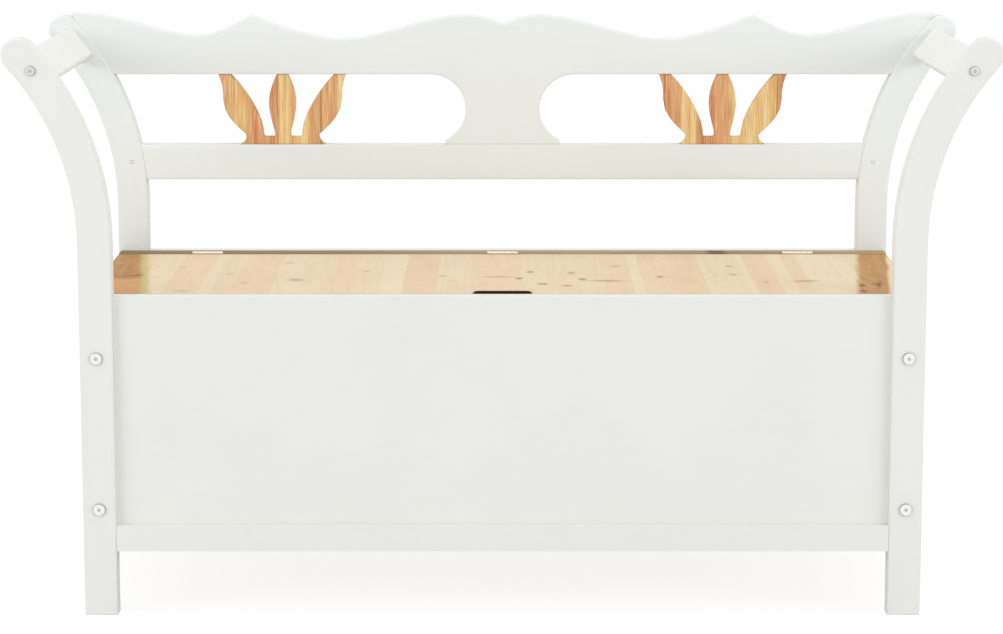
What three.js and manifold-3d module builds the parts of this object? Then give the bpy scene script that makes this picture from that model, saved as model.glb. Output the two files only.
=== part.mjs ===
// Storage bench: a hall bench with a chest under a hinged lid, a scalloped back and outward curved legs.
// Millimetres. X runs to the right, Y to the back, Z up. The origin is on the floor, under the middle.

import * as THREE from 'three';
import { mergeVertices } from 'three/addons/utils/BufferGeometryUtils.js';
import Module from 'manifold-3d';

const wasm = await Module();
wasm.setup();

// Whole bench
const legSpacing = 1034;
const benchDepth = 420;
const seatHeight = 416;
const boardThickness = 18;

// Fits and cuts
const seatGap = 0.3;
const cutOverrun = 1;
const weldDistance = 0.0001;
const curveSteps = 6;
const roundSides = 12;
const boreSides = 10;

// Legs: straight stock up to the bend, then one arc outwards to a round end
const legWidth = 42;
const legDepth = 28;
const legStraightHeight = 485;
const legBendRadius = 360;
const legBendSweep = THREE.MathUtils.degToRad(41.5);
const legEdgeRound = 2;

// Chest panels and the rails under them
const panelSetback = 10;
const panelTongueThickness = 8;
const panelTongueLength = 8;
const bottomRailLow = 84.6;
const bottomRailHeight = 33.8;
const bottomRailSetback = 1.2;
const panelRebateDepth = 10;
const floorLedgeDepth = 18;
const floorLedgeRise = 19;
const floorThickness = 9;
const panelEdgeRound = 1;

// Back of the bench
const railThickness = 20;
const railSetback = 2;
const backRailRise = 31;
const backRailHeight = 49.2;
const windowHeight = 98.1;
const railTenonThickness = 8;
const railTenonHeight = 33;
const railTenonLength = 20;
const railEdgeRound = 1.5;
const crestProud = 3.5;
const crestHookInset = 10;
const tongueInnerReach = 51;
const tongueFootAngle = THREE.MathUtils.degToRad(65);
const tongueTenonLength = 100;
const tongueTenonDepth = 14;
const crestDowelRadius = 4;
const crestDowelLength = 40;
const crestDowelShare = 0.256;

// Leaf splats
const leafCentre = 306.5;
const leafSpread = 177.4;
const leafThickness = 16;
const leafEdgeRound = 1;
const leafTenonThickness = 6;
const leafTenonDepth = 6;
const leafTipTenonWidth = 9;
const leafFootTenonWidth = 70;

// Armrests
const armrestAngle = THREE.MathUtils.degToRad(37.4);
const armrestWidth = 49;
const armrestThickness = 20;
const armrestEdgeRadius = 4;

// Lid, its battens and the hinge rail
const lidSideInset = 4;
const lidFrontGap = 3;
const lidEdgeRound = 1.5;
const notchWidth = 78;
const notchDepth = 23;
const notchCornerRadius = 11;
const battenWidth = 42;
const battenThickness = 18;
const battenEndGap = 28;
const battenInset = 50;
const hingeRailDepth = 30;

// Hinges
const hingeGap = 4;
const hingeEndInset = 124;
const hingeLength = 42;
const hingeLeafHeight = 15;
const hingeLeafThickness = 1;
const knuckleRadius = 2.3;
const hingePinRadius = 1.2;
const hingeKnuckles = 5;
const knuckleRise = 1.2;

// Connector bolts and barrel nuts
const boltRadius = 3;
const boltHeadRadius = 6.8;
const wideBoltHeadRadius = 9.1;
const boltHeadThickness = 2.2;
const boltHeadChamfer = 0.7;
const boltReach = 42;
const boltPointChamfer = 1;
const boltHoleClearance = 0.5;
const socketRadius = 2.4;
const socketDepth = 3.2;
const upperBoltDrop = 79;
const lowerBoltRise = 55.4;
const nutRadius = 5;
const nutLength = 12;
const nutSetIn = 32;
const nutSlotWidth = 1.4;
const nutSlotDepth = 1.5;
const nutHoleClearance = 0.3;

// Lock pins of the lower back rail
const lockPinRadius = 2.5;
const lockPinHeadProud = 0.4;

// Places worked out from the sizes above
const legCentre = legSpacing / 2;
const legInner = legCentre - legWidth / 2;
const frontFace = -benchDepth / 2;
const innerFront = frontFace + legDepth;
const innerBack = -innerFront;
const chestInside = legCentre - boardThickness / 2;
const lidUnderside = seatHeight - boardThickness;
const bendCentreX = legCentre + legBendRadius;
const innerBendRadius = legBendRadius + legWidth / 2;
const legEndX = bendCentreX - legBendRadius * Math.cos(legBendSweep);
const legEndZ = legStraightHeight + legBendRadius * Math.sin(legBendSweep);
const backRailLow = legStraightHeight + backRailRise;
const backRailTop = backRailLow + backRailHeight;
const crestLow = backRailTop + windowHeight;
const crestHeight = legEndZ + legWidth / 2 + crestProud - crestLow;
const crestHalfLength = legEndX - crestHookInset;
const crestDowelZ = crestLow + crestDowelShare * crestHeight;
const floorLow = bottomRailLow + floorLedgeRise;
const upperBoltHeight = seatHeight - upperBoltDrop;
const lowerBoltHeight = bottomRailLow + lowerBoltRise;
const lidHalfLength = legCentre + legWidth / 2 - lidSideInset;
const hingeAxisY = innerBack - hingeRailDepth - hingeGap / 2;
const hingeAxisZ = seatHeight + knuckleRise;
const nutPlaceY = innerBack - nutSetIn;
const railFront = innerBack + railSetback;
const railMiddle = railFront + railThickness / 2;
const windowRadius = windowHeight / 2;
const windowCentreX = tongueInnerReach + windowRadius;
const tongueFootX = windowCentreX - windowRadius * Math.cos(tongueFootAngle);

const white = new THREE.MeshStandardMaterial({ color: 0xe9eae5, roughness: 0.45, metalness: 0 });
const pine = new THREE.MeshStandardMaterial({ color: 0xe6c07e, roughness: 0.5, metalness: 0 });
const darkPine = new THREE.MeshStandardMaterial({ color: 0x98704f, roughness: 0.55, metalness: 0 });
const steel = new THREE.MeshStandardMaterial({ color: 0xc9cac8, roughness: 0.3, metalness: 0.9 });

const bench = new THREE.Group();

// Adds a named piece to the bench, or to a turned group of it.
function addPiece(name, geometry, finish, parent = bench) {
  const mesh = new THREE.Mesh(geometry, finish.clone());
  mesh.name = name;
  parent.add(mesh);
  return mesh;
}

// A closed geometry as a solid. Triangles that shrink to a line on an axis are left out.
function solidOf(geometry) {
  const bare = geometry.clone();
  bare.deleteAttribute('normal');
  bare.deleteAttribute('uv');
  const merged = mergeVertices(bare, weldDistance);
  const corners = Array.from(merged.index.array);
  const kept = [];
  for (let i = 0; i < corners.length; i += 3) {
    const [a, b, c] = corners.slice(i, i + 3);
    if (a !== b && b !== c && c !== a) {
      kept.push(a, b, c);
    }
  }
  return new wasm.Manifold(new wasm.Mesh({
    numProp: 3,
    vertProperties: new Float32Array(merged.attributes.position.array),
    triVerts: new Uint32Array(kept),
  }));
}

function geometryOf(solid) {
  const cut = solid.getMesh();
  const geometry = new THREE.BufferGeometry();
  geometry.setAttribute('position', new THREE.BufferAttribute(cut.vertProperties, 3));
  geometry.setIndex(new THREE.BufferAttribute(cut.triVerts, 1));
  geometry.computeVertexNormals();
  return geometry;
}

// Joins geometries to a piece, then cuts others out of it.
function shaped(base, { joined = [], cuts = [] } = {}) {
  let solid = solidOf(base);
  for (const part of joined) {
    solid = solid.add(solidOf(part));
  }
  for (const tool of cuts) {
    solid = solid.subtract(solidOf(tool));
  }
  return geometryOf(solid);
}

// A box between two corners, given as [x, y, z].
function boxBetween(low, high) {
  const size = high.map((value, axis) => value - low[axis]);
  const box = new THREE.BoxGeometry(...size);
  return box.translate(...low.map((value, axis) => value + size[axis] / 2));
}

// A rod of one radius between two places on an axis line: axis is 'x', 'y' or 'z'.
function rod(axis, radius, from, to, centre, sides) {
  const geometry = new THREE.CylinderGeometry(radius, radius, Math.abs(to - from), sides);
  const middle = (from + to) / 2;
  if (axis === 'x') {
    return geometry.rotateZ(Math.PI / 2).translate(middle, centre[0], centre[1]);
  }
  if (axis === 'y') {
    return geometry.translate(centre[0], middle, centre[1]);
  }
  return geometry.rotateX(Math.PI / 2).translate(centre[0], centre[1], middle);
}

// An outline in X and Z, mirrored for side -1, made a board that starts at frontY and runs back.
function uprightBoard(outline, side, frontY, thickness, edgeRound, roundSteps) {
  const points = outline.map((point) => new THREE.Vector2(point.x * side, point.y));
  const geometry = new THREE.ExtrudeGeometry(new THREE.Shape(points), {
    depth: thickness - 2 * edgeRound,
    bevelEnabled: true,
    bevelThickness: edgeRound,
    bevelSize: edgeRound,
    bevelOffset: -edgeRound,
    bevelSegments: roundSteps,
  });
  geometry.rotateX(Math.PI / 2);
  return geometry.translate(0, frontY + thickness - edgeRound, 0);
}

// A section in Y and Z made a board that runs along X as far to the left as to the right.
function lengthwiseBoard(section, halfLength) {
  const board = new THREE.ExtrudeGeometry(new THREE.Shape(section), {
    depth: 2 * halfLength,
    bevelEnabled: false,
  });
  return board.rotateX(Math.PI / 2).rotateZ(Math.PI / 2).translate(-halfLength, 0, 0);
}

// Points of an outline without doubles, so that every edge has a length.
function pointsOf(shape, steps = curveSteps) {
  return shape.getPoints(steps).filter((point, i, all) => (
    point.distanceTo(all[(i + 1) % all.length]) > weldDistance
  ));
}

// Legs: the profile, or with a gap the room that a board of the back leaves free for it
function legOutline(gap) {
  const outer = legCentre + legWidth / 2 + gap;
  const outerBendRadius = legBendRadius - legWidth / 2 - gap;
  const top = Math.PI - legBendSweep;
  const shape = new THREE.Shape();
  shape.moveTo(legInner - gap, 0);
  shape.lineTo(outer, 0);
  shape.lineTo(outer, legStraightHeight);
  shape.absarc(bendCentreX, legStraightHeight, outerBendRadius, Math.PI, top, true);
  shape.absarc(legEndX, legEndZ, legWidth / 2 + gap, top - Math.PI, top, false);
  shape.absarc(bendCentreX, legStraightHeight, innerBendRadius + gap, top, Math.PI, false);
  return pointsOf(shape);
}

function legRoom(side) {
  const depth = railThickness + 2 * cutOverrun;
  return uprightBoard(legOutline(seatGap), side, railFront - cutOverrun, depth, 0, 0);
}

// Where the armrest's bolt crosses the leg's centre line.
function armrestCentre() {
  return {
    x: bendCentreX - legBendRadius * Math.cos(armrestAngle),
    z: legStraightHeight + legBendRadius * Math.sin(armrestAngle),
  };
}

// The X of a line along the leg at a height: straight, then bent with a radius.
function bendAt(radius, height) {
  const rise = Math.max(height - legStraightHeight, 0);
  return bendCentreX - Math.sqrt(radius ** 2 - rise ** 2);
}

// The X of the bench side of a leg at a height, with the seat gap left free.
function legInnerAt(height) {
  return bendAt(innerBendRadius + seatGap, height);
}

function boltBores(side, frontY, backY) {
  const arm = armrestCentre();
  const radius = boltRadius + boltHoleClearance;
  const places = [
    [legCentre * side, upperBoltHeight],
    [legCentre * side, lowerBoltHeight],
    [arm.x * side, arm.z],
  ];
  return places.map((place) => rod('y', radius, frontY, backY, place, boreSides));
}

// The groove for a chest panel's tongue, stopped under the bottom rail.
function panelGroove(side, end) {
  const inset = panelSetback + boardThickness / 2;
  const middle = end * (benchDepth / 2 - inset);
  const half = panelTongueThickness / 2 + seatGap;
  const inner = legInner - cutOverrun;
  const outer = legInner + panelTongueLength + seatGap;
  return boxBetween(
    [Math.min(inner * side, outer * side), middle - half, bottomRailLow - seatGap],
    [Math.max(inner * side, outer * side), middle + half, seatHeight + seatGap],
  );
}

function addLegs(side, sideName) {
  const outline = legOutline(0);
  const back = -frontFace;
  const front = uprightBoard(outline, side, frontFace, legDepth, legEdgeRound, 2);
  const frontCuts = boltBores(side, frontFace - cutOverrun, innerFront + cutOverrun);
  addPiece(`front_leg_${sideName}`, shaped(front, { cuts: [...frontCuts, panelGroove(side, -1)] }), white);

  const rear = uprightBoard(outline, side, innerBack, legDepth, legEdgeRound, 2);
  const pinHeight = backRailLow + backRailHeight / 2;
  const mortiseHalf = railTenonThickness / 2 + seatGap;
  const tenonHalf = railTenonHeight / 2 + seatGap;
  const inner = legInner - cutOverrun;
  const outer = legInnerAt(backRailTop) + railTenonLength + seatGap;
  const dowelX = legInnerAt(crestDowelZ);
  const rearCuts = [
    ...boltBores(side, innerBack - cutOverrun, back + cutOverrun),
    panelGroove(side, 1),
    boxBetween(
      [Math.min(inner * side, outer * side), railMiddle - mortiseHalf, pinHeight - tenonHalf],
      [Math.max(inner * side, outer * side), railMiddle + mortiseHalf, pinHeight + tenonHalf],
    ),
    rod('y', lockPinRadius + seatGap, innerBack - cutOverrun, railMiddle + mortiseHalf,
      [lockPinX() * side, pinHeight], boreSides),
    rod('x', crestDowelRadius + seatGap, (dowelX - crestDowelLength / 2) * side,
      (dowelX + crestDowelLength / 2 + seatGap) * side,
      [railMiddle, crestDowelZ], boreSides),
  ];
  addPiece(`rear_leg_${sideName}`, shaped(rear, { cuts: rearCuts }), white);
}

// Chest: panels with end tongues, rails with tenons, side panels, floor
function addPanel(name, end, finish) {
  const faceOut = legInner - seatGap;
  const tip = legInner + panelTongueLength;
  const middle = end * (benchDepth / 2 - panelSetback - boardThickness / 2);
  const half = boardThickness / 2;
  const low = bottomRailLow + bottomRailHeight - panelRebateDepth + seatGap;
  const roundHeight = seatHeight - panelEdgeRound;
  const section = new THREE.Shape();
  section.moveTo(middle - half, low);
  section.lineTo(middle + half, low);
  section.absarc(middle + half - panelEdgeRound, roundHeight, panelEdgeRound, 0, Math.PI / 2, false);
  section.absarc(middle - half + panelEdgeRound, roundHeight, panelEdgeRound, Math.PI / 2, Math.PI, false);
  const board = lengthwiseBoard(pointsOf(section, 1), faceOut);
  const tongue = boxBetween(
    [-tip, middle - panelTongueThickness / 2, low + panelEdgeRound],
    [tip, middle + panelTongueThickness / 2, seatHeight - panelEdgeRound],
  );
  addPiece(name, shaped(board, { joined: [tongue] }), finish);
}

// A bottom rail's section in Y and Z: front lip, rebate under the panel, ledge for the floor.
function addBottomRail(name, end) {
  const face = end * (benchDepth / 2 - bottomRailSetback);
  const panelFront = end * (benchDepth / 2 - panelSetback + seatGap);
  const panelBack = end * (benchDepth / 2 - panelSetback - boardThickness);
  const ledge = panelBack - end * floorLedgeDepth;
  const rebate = bottomRailLow + bottomRailHeight - panelRebateDepth;
  const section = [
    [face, bottomRailLow],
    [ledge, bottomRailLow],
    [ledge, floorLow],
    [panelBack, floorLow],
    [panelBack, rebate],
    [panelFront, rebate],
    [panelFront, bottomRailLow + bottomRailHeight],
    [face, bottomRailLow + bottomRailHeight],
  ].map(([y, z]) => new THREE.Vector2(y, z));
  const rail = lengthwiseBoard(section, legInner - seatGap);
  const middle = end * (benchDepth / 2 - panelSetback - boardThickness / 2);
  const tip = legInner + panelTongueLength;
  const tenon = boxBetween(
    [-tip, middle - panelTongueThickness / 2, bottomRailLow + panelEdgeRound],
    [tip, middle + panelTongueThickness / 2, rebate - panelEdgeRound],
  );
  addPiece(name, shaped(rail, { joined: [tenon] }), white);
}

function addSidePanel(side, sideName) {
  const low = bottomRailLow;
  const board = boxBetween(
    [legCentre * side - boardThickness / 2, innerFront + seatGap, low],
    [legCentre * side + boardThickness / 2, innerBack - seatGap, lidUnderside - seatGap],
  );
  const cuts = [];
  const insideFace = chestInside * side;
  const nutHoleEnd = insideFace + side * (boardThickness + nutLength) / 2 + side * seatGap;
  for (const height of [upperBoltHeight, lowerBoltHeight]) {
    for (const end of [-1, 1]) {
      const boltEnd = end * (innerBack - boltReach - cutOverrun);
      cuts.push(rod('y', boltRadius + boltHoleClearance, end * (innerBack + cutOverrun), boltEnd,
        [legCentre * side, height], boreSides));
      cuts.push(rod('x', nutRadius + nutHoleClearance, insideFace - side * cutOverrun, nutHoleEnd,
        [end * nutPlaceY, height], roundSides));
    }
  }
  addPiece(`side_panel_${sideName}`, shaped(board, { cuts }), white);
}

function addFloor() {
  const halfLength = chestInside - seatGap;
  const depth = innerBack - seatGap;
  const board = boxBetween(
    [-halfLength, -depth, floorLow + seatGap],
    [halfLength, depth, floorLow + seatGap + floorThickness],
  );
  addPiece('bottom_board', shaped(board), pine);
  for (const [side, sideName] of [[-1, 'left'], [1, 'right']]) {
    const outer = side * (chestInside - seatGap);
    const inner = side * (legInner - seatGap - floorLedgeDepth);
    const cleatDepth = innerBack - floorLedgeDepth - seatGap;
    const cleat = boxBetween(
      [Math.min(outer, inner), -cleatDepth, bottomRailLow],
      [Math.max(outer, inner), cleatDepth, floorLow],
    );
    addPiece(`floor_cleat_${sideName}`, shaped(cleat), pine);
  }
}

// Back: lower rail between the rear legs, crest with the centre tongue, leaf splats. The boards are cut
// square where they meet the legs and each other.
function squareFoot(low) {
  const half = tongueFootX - railEdgeRound;
  return boxBetween([-half, railFront, low], [half, railFront + railThickness, low + railEdgeRound]);
}

function addLowerRail() {
  const lowHalf = bendAt(legBendRadius, backRailLow);
  const topHalf = bendAt(legBendRadius, backRailTop);
  const outline = [
    new THREE.Vector2(-lowHalf, backRailLow),
    new THREE.Vector2(lowHalf, backRailLow),
    new THREE.Vector2(topHalf, backRailTop),
    new THREE.Vector2(-topHalf, backRailTop),
  ];
  const board = uprightBoard(outline, 1, railFront, railThickness, railEdgeRound, 1);
  const rail = shaped(board, {
    joined: [squareFoot(backRailTop - railEdgeRound)],
    cuts: [legRoom(-1), legRoom(1)],
  });
  const middle = backRailLow + backRailHeight / 2;
  const tip = legInnerAt(backRailTop) + railTenonLength;
  const tenon = boxBetween(
    [-tip, railMiddle - railTenonThickness / 2, middle - railTenonHeight / 2],
    [tip, railMiddle + railTenonThickness / 2, middle + railTenonHeight / 2],
  );
  const tongueHalf = tongueTenonLength / 2 + seatGap;
  const mortiseHalf = railTenonThickness / 2 + seatGap;
  const cuts = [boxBetween(
    [-tongueHalf, railMiddle - mortiseHalf, backRailTop - tongueTenonDepth - seatGap],
    [tongueHalf, railMiddle + mortiseHalf, backRailTop + cutOverrun],
  )];
  for (const side of [-1, 1]) {
    cuts.push(leafTenon(side, 0, leafFootTenonWidth, backRailTop - leafTenonDepth, seatGap,
      backRailTop + cutOverrun));
    cuts.push(rod('y', lockPinRadius + seatGap, railFront - cutOverrun, railFront + railThickness + cutOverrun,
      [lockPinX() * side, middle], boreSides));
  }
  addPiece('lower_back_rail', shaped(rail, { joined: [tenon], cuts }), white);
}

function lockPinX() {
  return legCentre;
}

// A tenon of a leaf splat, or with clearance its mortise, centred at a place along the splat.
function leafTenon(side, place, width, low, clearance, high) {
  const centre = side * leafCentre + place;
  const halfWidth = width / 2 + clearance;
  const halfThickness = leafTenonThickness / 2 + clearance;
  return boxBetween(
    [centre - halfWidth, railMiddle - halfThickness, low - (high > low ? clearance : 0)],
    [centre + halfWidth, railMiddle + halfThickness, high],
  );
}

// The crest's waves from its end to its middle, as shares of half the crest's length and of its height:
// two handles and the end of each curve.
const crestWaveShares = [
  [0.887, 1, 0.779, 0.625, 0.711, 0.625],
  [0.67, 0.625, 0.619, 0.823, 0.584, 0.961],
  [0.536, 0.829, 0.439, 0.567, 0.37, 0.567],
  [0.293, 0.567, 0.176, 0.966, 0.087, 0.966],
  [0.05, 0.966, 0.0234, 0.888, 0, 0.815],
];

function crestOutline() {
  const windowCentreZ = crestLow - windowRadius;
  const foot = Math.PI + tongueFootAngle;
  const hook = Math.acos((bendCentreX - crestHalfLength) / legBendRadius);
  const shape = new THREE.Shape();
  shape.moveTo(tongueFootX, backRailTop + seatGap);
  shape.lineTo(tongueFootX, windowCentreZ + windowRadius * Math.sin(foot));
  shape.absarc(windowCentreX, windowCentreZ, windowRadius, foot, Math.PI / 2, true);
  shape.lineTo(bendAt(legBendRadius, crestLow), crestLow);
  shape.lineTo(crestHalfLength, legStraightHeight + legBendRadius * Math.sin(hook));
  shape.lineTo(crestHalfLength, crestLow + crestHeight);
  for (const [ax, az, bx, bz, x, z] of crestWaveShares) {
    shape.bezierCurveTo(
      ax * crestHalfLength, crestLow + az * crestHeight,
      bx * crestHalfLength, crestLow + bz * crestHeight,
      x * crestHalfLength, crestLow + z * crestHeight,
    );
  }
  const half = pointsOf(shape);
  const left = half.filter((point) => point.x > weldDistance);
  return [...half, ...left.map((point) => new THREE.Vector2(-point.x, point.y)).reverse()];
}

// Where a side leaf's tip lies on the crest, from the splat's middle.
const leafTipShare = 0.907;

function addCrest() {
  const board = uprightBoard(crestOutline(), 1, railFront, railThickness, railEdgeRound, 2);
  const fitted = shaped(board, {
    joined: [squareFoot(backRailTop + seatGap)],
    cuts: [legRoom(-1), legRoom(1)],
  });
  const tenon = boxBetween(
    [-tongueTenonLength / 2, railMiddle - railTenonThickness / 2, backRailTop - tongueTenonDepth],
    [tongueTenonLength / 2, railMiddle + railTenonThickness / 2, backRailTop + tongueTenonDepth],
  );
  const cuts = [];
  const dowelX = legInnerAt(crestDowelZ);
  for (const side of [-1, 1]) {
    for (const tip of [-1, 0, 1]) {
      cuts.push(leafTenon(side, tip * leafTipShare * leafSpread / 2, leafTipTenonWidth,
        crestLow - cutOverrun, seatGap, crestLow + leafTenonDepth + seatGap));
    }
    cuts.push(rod('x', crestDowelRadius + seatGap, (dowelX - crestDowelLength / 2 - seatGap) * side,
      (dowelX + crestDowelLength / 2) * side, [railMiddle, crestDowelZ], boreSides));
    const dowel = rod('x', crestDowelRadius, (dowelX - crestDowelLength / 2) * side,
      (dowelX + crestDowelLength / 2) * side, [railMiddle, crestDowelZ], boreSides);
    addPiece(`crest_dowel_${side < 0 ? 'left' : 'right'}`, shaped(dowel), pine);
  }
  addPiece('crest_rail', shaped(fitted, { joined: [tenon], cuts }), white);
}

// Half a leaf splat, as shares of half its spread and of the window's height. A row holds a point, the
// handles of a curve and its end, or the one handle of a plain bend and its end.
const leafOutlineShares = [
  [0.665, 0],
  [0.577, 0.033, 0.567, 0.124],
  [0.575, 0.173, 0.926, 0.347, 0.926, 0.632],
  [0.926, 0.795, 0.941, 0.877, 1, 1],
  [0.815, 1],
  [0.575, 0.785, 0.327, 0.428, 0.308, 0.188],
  [0.303, 0.104, 0.276, 0.104],
  [0.144, 0.104],
  [0.117, 0.104, 0.127, 0.188],
  [0.158, 0.306, 0.2086, 0.4485, 0.2086, 0.591],
  [0.2086, 0.754, 0.142, 0.897, 0.084, 1],
];

function leafOutline() {
  const halfSpread = leafSpread / 2;
  const height = windowHeight - 2 * seatGap;
  const low = backRailTop + seatGap;
  const shape = new THREE.Shape();
  shape.moveTo(0, low);
  for (const row of leafOutlineShares) {
    const places = row.map((share, i) => (i % 2 === 0 ? share * halfSpread : low + share * height));
    if (row.length === 2) {
      shape.lineTo(...places);
    } else if (row.length === 4) {
      shape.quadraticCurveTo(...places);
    } else {
      shape.bezierCurveTo(...places);
    }
  }
  const half = pointsOf(shape).filter((point) => point.x > weldDistance);
  return [...half, ...half.map((point) => new THREE.Vector2(-point.x, point.y)).reverse()];
}

function addLeafSplat(side, sideName) {
  const front = railMiddle - leafThickness / 2;
  const board = uprightBoard(leafOutline(), 1, front, leafThickness, leafEdgeRound, 1);
  board.translate(side * leafCentre, 0, 0);
  const foot = leafTenon(side, 0, leafFootTenonWidth, backRailTop - leafTenonDepth, 0,
    backRailTop + leafTenonDepth);
  const tips = [-1, 0, 1].map((tip) => leafTenon(side, tip * leafTipShare * leafSpread / 2,
    leafTipTenonWidth, crestLow - leafTenonDepth, 0, crestLow + leafTenonDepth));
  addPiece(`leaf_splat_${sideName}`, shaped(board, { joined: [foot, ...tips] }), pine);
}

// The pin through a rear leg and the tenon of the lower back rail.
function addLockPin(side, sideName) {
  const profile = [
    [0, -lockPinHeadProud],
    [lockPinRadius - lockPinHeadProud, -lockPinHeadProud],
    [lockPinRadius, 0],
    [lockPinRadius, railSetback + (railThickness + railTenonThickness) / 2],
    [0, railSetback + (railThickness + railTenonThickness) / 2],
  ].map(([r, y]) => new THREE.Vector2(r, y));
  const pin = new THREE.LatheGeometry(profile, boreSides);
  pin.translate(lockPinX() * side, innerBack, backRailLow + backRailHeight / 2);
  addPiece(`rail_lock_pin_${sideName}`, shaped(pin), white);
}

// Connector bolts and barrel nuts. A bolt points along its own +Y, its head's seat at zero. The upper
// bolts of the chest have wider heads than the others.
function boltGeometry(headRadius) {
  const length = legDepth + boltReach;
  const profile = [
    [0, -boltHeadThickness],
    [headRadius - boltHeadChamfer, -boltHeadThickness],
    [headRadius, boltHeadChamfer - boltHeadThickness],
    [headRadius, 0],
    [boltRadius, 0],
    [boltRadius, length - boltPointChamfer],
    [boltRadius - boltPointChamfer, length],
    [0, length],
  ].map(([r, y]) => new THREE.Vector2(r, y));
  const socket = rod('y', socketRadius, -boltHeadThickness - cutOverrun, socketDepth - boltHeadThickness,
    [0, 0], 6);
  return shaped(new THREE.LatheGeometry(profile, roundSides), { cuts: [socket] });
}

// A barrel nut along its own X, slotted at the end that faces -X, with the bolt's bore along Y.
function nutGeometry() {
  const half = nutLength / 2;
  const bore = rod('y', boltRadius + seatGap, -nutRadius - cutOverrun, nutRadius + cutOverrun, [0, 0], boreSides);
  const slot = boxBetween(
    [-half - cutOverrun, -nutSlotWidth / 2, -nutRadius - cutOverrun],
    [nutSlotDepth - half, nutSlotWidth / 2, nutRadius + cutOverrun],
  );
  return shaped(rod('x', nutRadius, -half, half, [0, 0], roundSides), { cuts: [bore, slot] });
}

// One bolt and its nut at one end of the bench, on a line through a place of the parent group.
function addBoltAndNut(tag, end, x, z, headRadius, nutTurn, parent) {
  const bolt = addPiece(`bolt_${tag}`, boltGeometry(headRadius), steel, parent);
  bolt.rotation.x = end < 0 ? 0 : Math.PI;
  bolt.position.set(x, end * benchDepth / 2 + end * seatGap, z);
  const nut = addPiece(`barrel_nut_${tag}`, nutGeometry(), steel, parent);
  nut.rotation.y = nutTurn;
  nut.position.set(x, end * nutPlaceY, z);
}

function addSideBolts(side, sideName) {
  const nutTurn = side > 0 ? 0 : Math.PI;
  for (const [end, endName] of [[-1, 'front'], [1, 'rear']]) {
    const tag = `${endName}_${sideName}`;
    const x = legCentre * side;
    addBoltAndNut(`${tag}_upper`, end, x, upperBoltHeight, wideBoltHeadRadius, nutTurn, bench);
    addBoltAndNut(`${tag}_lower`, end, x, lowerBoltHeight, boltHeadRadius, nutTurn, bench);
  }
}

// Armrests: a group turned to the slope of the leg, its own X along the leg and its own Z inwards.
function armrestSection() {
  const halfWidth = armrestWidth / 2;
  const halfThickness = armrestThickness / 2;
  const x = halfWidth - armrestEdgeRadius;
  const z = halfThickness - armrestEdgeRadius;
  const shape = new THREE.Shape();
  shape.absarc(x, -z, armrestEdgeRadius, -Math.PI / 2, 0, false);
  shape.absarc(x, z, armrestEdgeRadius, 0, Math.PI / 2, false);
  shape.absarc(-x, z, armrestEdgeRadius, Math.PI / 2, Math.PI, false);
  shape.absarc(-x, -z, armrestEdgeRadius, Math.PI, Math.PI * 1.5, false);
  return pointsOf(shape, 2);
}

function addArmrest(side, sideName) {
  const centre = armrestCentre();
  const turned = new THREE.Group();
  turned.position.set(centre.x * side, 0, centre.z);
  turned.rotation.y = -side * (Math.PI / 2 - armrestAngle);
  bench.add(turned);

  const length = 2 * (innerBack - seatGap);
  const board = new THREE.ExtrudeGeometry(new THREE.Shape(armrestSection()), {
    depth: length,
    bevelEnabled: false,
  });
  board.rotateX(Math.PI / 2).translate(0, length / 2, 0);
  const nutHoleTop = nutLength / 2 + seatGap;
  const cuts = [];
  for (const end of [-1, 1]) {
    cuts.push(rod('y', boltRadius + boltHoleClearance, end * (innerBack + cutOverrun),
      end * (innerBack - boltReach - cutOverrun), [0, 0], boreSides));
    cuts.push(rod('z', nutRadius + nutHoleClearance, -armrestThickness / 2 - cutOverrun, nutHoleTop,
      [0, end * nutPlaceY], roundSides));
  }
  addPiece(`armrest_${sideName}`, shaped(board, { cuts }), white, turned);
  for (const [end, endName] of [[-1, 'front'], [1, 'rear']]) {
    const tag = `${endName}_${sideName}_armrest`;
    addBoltAndNut(tag, end, 0, 0, boltHeadRadius, -Math.PI / 2, turned);
  }
}

// Lid: a board with a finger notch in its front edge, and two battens under it
function lidOutline() {
  const front = innerFront + lidFrontGap;
  const back = hingeAxisY - hingeGap / 2;
  const halfNotch = notchWidth / 2;
  const notchBack = front + notchDepth;
  const shape = new THREE.Shape();
  shape.moveTo(-lidHalfLength, front);
  shape.lineTo(-halfNotch, front);
  shape.absarc(notchCornerRadius - halfNotch, notchBack - notchCornerRadius, notchCornerRadius,
    Math.PI, Math.PI / 2, true);
  shape.absarc(halfNotch - notchCornerRadius, notchBack - notchCornerRadius, notchCornerRadius,
    Math.PI / 2, 0, true);
  shape.lineTo(halfNotch, front);
  shape.lineTo(lidHalfLength, front);
  shape.lineTo(lidHalfLength, back);
  shape.lineTo(-lidHalfLength, back);
  return new THREE.Shape(pointsOf(shape, 4));
}

function addLid() {
  const lid = new THREE.ExtrudeGeometry(lidOutline(), {
    depth: boardThickness - 2 * lidEdgeRound,
    bevelEnabled: true,
    bevelThickness: lidEdgeRound,
    bevelSize: lidEdgeRound,
    bevelOffset: -lidEdgeRound,
    bevelSegments: 2,
  });
  lid.translate(0, 0, lidUnderside + lidEdgeRound);
  addPiece('lid_panel', shaped(lid), pine);

  const front = innerFront + lidFrontGap + battenInset;
  const back = hingeAxisY - hingeGap / 2 - battenInset - battenWidth;
  for (const [name, start] of [['lid_batten_front', front], ['lid_batten_rear', back]]) {
    const batten = boxBetween(
      [battenEndGap - chestInside, start, lidUnderside - seatGap - battenThickness],
      [chestInside - battenEndGap, start + battenWidth, lidUnderside - seatGap],
    );
    addPiece(name, shaped(batten), pine);
  }

  const rail = boxBetween(
    [-lidHalfLength, hingeAxisY + hingeGap / 2, lidUnderside],
    [lidHalfLength, innerBack - seatGap, seatHeight],
  );
  addPiece('hinge_rail', shaped(rail), darkPine);
}

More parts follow.
